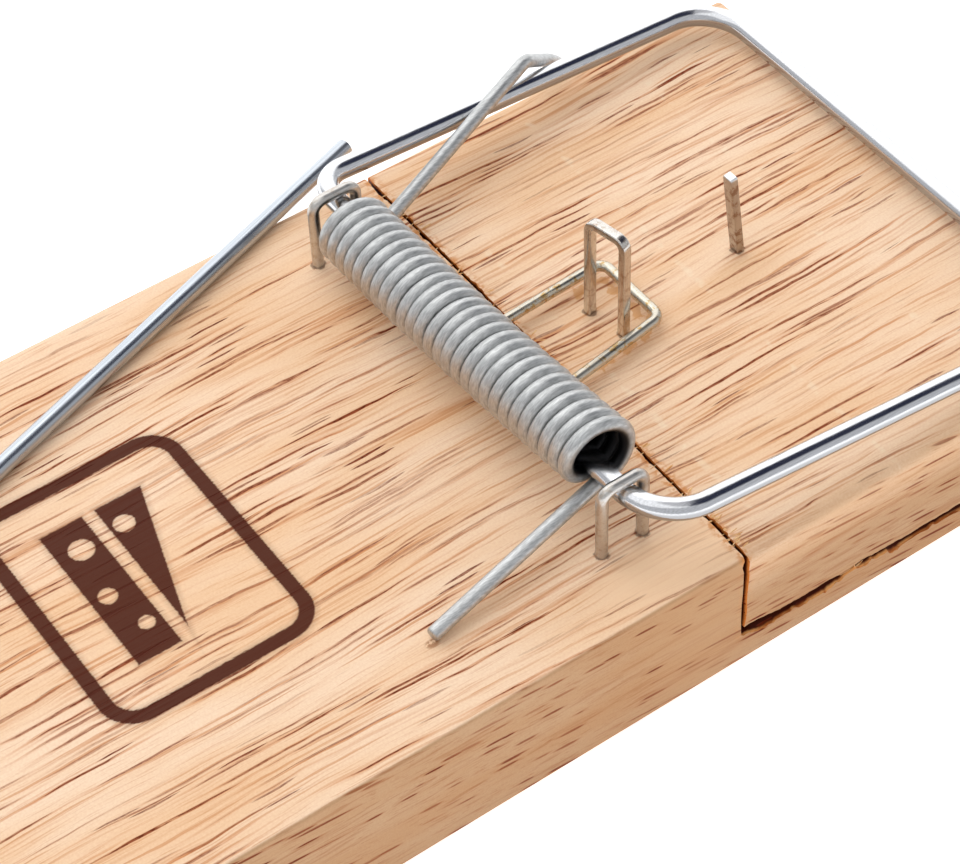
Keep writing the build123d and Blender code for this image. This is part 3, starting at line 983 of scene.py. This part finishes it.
# ------------------------------------------------------------------ catch and spike
CATCH_FEET = ((5.3, 25.1), (5.95, 21.85))
CATCH_HEIGHT = 9.3
LEG_DEPTH = 4.9
SPIKE_FOOT = (18.0, 23.7)
SPIKE_LEAN = 7.3
# Height along the spike, and the share of its full section there
SPIKE_STATIONS = ((-LEG_DEPTH, 1.0), (0.0, 1.0), (2.0, 1.0), (4.0, 1.0), (6.0, 1.0),
                  (7.5, 1.0), (8.02, 1.0), (8.14, 0.93), (8.2, 0.78))


def make_catch():
    """Flattened wire with rolled edges, bent into a staple."""
    first, last = CATCH_FEET
    points = [(*first, -LEG_DEPTH), (*first, CATCH_HEIGHT), (*last, CATCH_HEIGHT), (*last, -LEG_DEPTH)]
    path = rounded_path(points, [0.75, 0.75], 9.0)
    across = (Vector((*last, 0.0)) - Vector((*first, 0.0))).normalized()
    profile = rounded_rectangle(0.33, 0.39, 0.13)
    catch = tube("catch_wire", path, profile, lambda index, count: 1.0, across)
    smooth_by_angle(catch, 50)
    give(catch, CATCH_METAL)
    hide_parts("catch_staple")
    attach(catch, "treadle")


def make_spike():
    """Flat wire with a ragged, sheared top."""
    lean = Matrix.Rotation(math.radians(-SPIKE_LEAN), 3, "Y") @ Vector((0.0, 0.0, 1.0))
    foot = Vector((*SPIKE_FOOT, 0.0))
    path = [foot + lean * height for height, _ in SPIKE_STATIONS]
    profile = rounded_rectangle(0.49, 0.34, 0.09, 3)
    spike = tube("spike_wire", path, profile, lambda index, count: SPIKE_STATIONS[index][1],
                 Vector((0.0, 1.0, 0.0)))
    ragged = len(profile) * 3
    for vertex in list(spike.data.vertices)[-ragged:]:
        at = vertex.co / MM
        lift = 0.16 * noise.noise(Vector((at.x * 2.2, at.y * 2.2, 3.0))) - 0.07
        vertex.co += lean * (lift * MM)
    smooth_by_angle(spike, 40)
    give(spike, SPIKE_METAL)
    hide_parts("bait_spike")
    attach(spike, "treadle")


# ------------------------------------------------------------------ camera, floor and light
CAMERA_PLACE = (-84.61, -95.19, 156.67)
CAMERA_AZIMUTH = -33.549
CAMERA_ELEVATION = 48.519
CAMERA_ROLL = -2.311
CAMERA_LENS = 110.32
SENSOR = 36.0


def view_direction():
    azimuth, elevation = math.radians(CAMERA_AZIMUTH), math.radians(CAMERA_ELEVATION)
    return Vector((-math.sin(azimuth) * math.cos(elevation), math.cos(azimuth) * math.cos(elevation),
                   -math.sin(elevation)))


def make_camera():
    data = bpy.data.cameras.new("camera")
    data.lens = CAMERA_LENS
    data.sensor_width = SENSOR
    data.clip_start = 0.01
    data.clip_end = 20.0
    camera = bpy.data.objects.new("camera", data)
    bpy.context.scene.collection.objects.link(camera)
    forward = view_direction()
    level = forward.cross(Vector((0, 0, 1))).normalized()
    upright = level.cross(forward)
    roll = math.radians(CAMERA_ROLL)
    right = level * math.cos(roll) + upright * math.sin(roll)
    up = right.cross(forward)
    turn = Matrix((right, up, -forward)).transposed().to_4x4()
    camera.matrix_world = Matrix.Translation(place(*CAMERA_PLACE)) @ turn
    bpy.context.scene.camera = camera


FLOOR_HALF = 3.0
FLOOR_GLOW = 0.65


def make_floor():
    corners = [(x * FLOOR_HALF, y * FLOOR_HALF, 0.0) for x, y in ((-1, -1), (1, -1), (1, 1), (-1, 1))]
    floor = mesh_object("floor", corners, [(0, 1, 2, 3)], smooth=False, place_in_row=False)
    made, _, shader = material("pale_floor")
    shader.inputs["Base Color"].default_value = (0.93, 0.93, 0.93, 1.0)
    shader.inputs["Roughness"].default_value = 0.8
    shader.inputs["Emission Color"].default_value = (1.0, 1.0, 1.0, 1.0)
    shader.inputs["Emission Strength"].default_value = FLOOR_GLOW
    give(floor, made)


# Directions in the studio, from the object, and how bright it is there
BACK_WALL = (0.30, 0.80, 0.52)
CEILING = (0.42, -0.18, 0.89)
WALL_WHITE = (1.6, 1.6, 1.6, 1.0)
CEILING_DARK = (0.022, 0.026, 0.055, 1.0)
ROOM_GREY = (0.62, 0.63, 0.65, 1.0)
KEY_PLACE = (-0.15, 0.06, 0.62)
KEY_SIZE = 0.95
KEY_POWER = 1.86
KEY_COLOUR = (1.0, 0.99, 0.97)


def make_world():
    """A bright wall behind the object, a dim ceiling over the camera, and grey elsewhere."""
    world = bpy.data.worlds.new("studio")
    bpy.context.scene.world = world
    world.use_nodes = True
    g = Graph(world.node_tree)
    direction = g.vector("NORMALIZE", g.add("ShaderNodeTexCoord").outputs["Generated"])

    def lobe(centre, low, high):
        unit = tuple(Vector(centre).normalized())
        return g.ramp(g.vector("DOT_PRODUCT", direction, unit), low, high)

    colour = g.mix(lobe(BACK_WALL, 0.55, 0.80), ROOM_GREY, WALL_WHITE)
    colour = g.mix(lobe(CEILING, 0.86, 0.93), colour, CEILING_DARK)
    shader = g.add("ShaderNodeBackground", {"Color": colour, "Strength": 1.0})
    output = g.add("ShaderNodeOutputWorld")
    g.tree.links.new(shader.outputs[0], output.inputs[0])


def make_key_light():
    """One large soft box over the object, aimed at its middle."""
    data = bpy.data.lights.new("key", "AREA")
    data.shape = "RECTANGLE"
    data.size, data.size_y = KEY_SIZE, KEY_SIZE
    data.energy = KEY_POWER
    data.color = KEY_COLOUR
    light = bpy.data.objects.new("key", data)
    bpy.context.scene.collection.objects.link(light)
    light.location = KEY_PLACE
    light.rotation_mode = "QUATERNION"
    light.rotation_quaternion = (-Vector(KEY_PLACE)).to_track_quat("-Z", "Y")


# ------------------------------------------------------------------ build
STAPLE_WEAR = (0.42, 0.33, 0.25, 1.0)
CATCH_WEAR = (0.36, 0.24, 0.16, 1.0)
BRASSY_WEAR = (0.46, 0.29, 0.10, 1.0)
SPIKE_WEAR = (0.22, 0.11, 0.06, 1.0)
ROD_YAW = 18.87
BRIGHT_WIRE = wire_material("bright_plated_wire", (0.71, 0.72, 0.745, 1.0), 0.17, 0.3, shade_below=0.3)
SPRING_METAL = wire_material("drawn_spring_wire", (0.59, 0.60, 0.60, 1.0), 0.47, 0.6,
                             axis_lengths=(0.5, 0.09, 0.5), shaded_bore=True)
ROD_METAL = wire_material("blue_steel_wire", (0.54, 0.58, 0.63, 1.0), 0.26, 0.35,
                          axis_lengths=(8.0, 0.1, 0.1), yaw=ROD_YAW)
STAPLE_METAL = wire_material("staple_wire", (0.62, 0.60, 0.57, 1.0), 0.33, 0.3, STAPLE_WEAR, 0.5)
CATCH_METAL = wire_material("catch_plating", (0.66, 0.63, 0.59, 1.0), 0.2, 0.3, CATCH_WEAR, 0.55,
                            axis_lengths=(0.09, 0.09, 3.0))
LOOP_METAL = wire_material("worn_brassy_wire", (0.62, 0.58, 0.49, 1.0), 0.28, 0.25, BRASSY_WEAR, 0.9)
SPIKE_METAL = wire_material("cut_wire", (0.50, 0.45, 0.40, 1.0), 0.34, 0.3, SPIKE_WEAR, 0.75,
                            axis_lengths=(0.12, 0.12, 3.0), tip=SPIKE_STATIONS[-1][0])
FIBRES = fibre_material()

NODE_METALS = {
    "jaw": BRIGHT_WIRE, "locking_rod": ROD_METAL, "axle_staple_near": STAPLE_METAL,
    "axle_staple_far": STAPLE_METAL, "rod_staple": STAPLE_METAL, "treadle_loop": LOOP_METAL,
}


def dress_nodes():
    for name, metal in NODE_METALS.items():
        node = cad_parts[name]
        for slot in node.material_slots:
            slot.material = metal


bpy.context.scene.view_settings.view_transform = "Standard"
make_camera()
make_floor()
make_world()
make_key_light()
dress_nodes()
make_wood()
make_splinters()
make_spring()
make_catch()
make_spike()
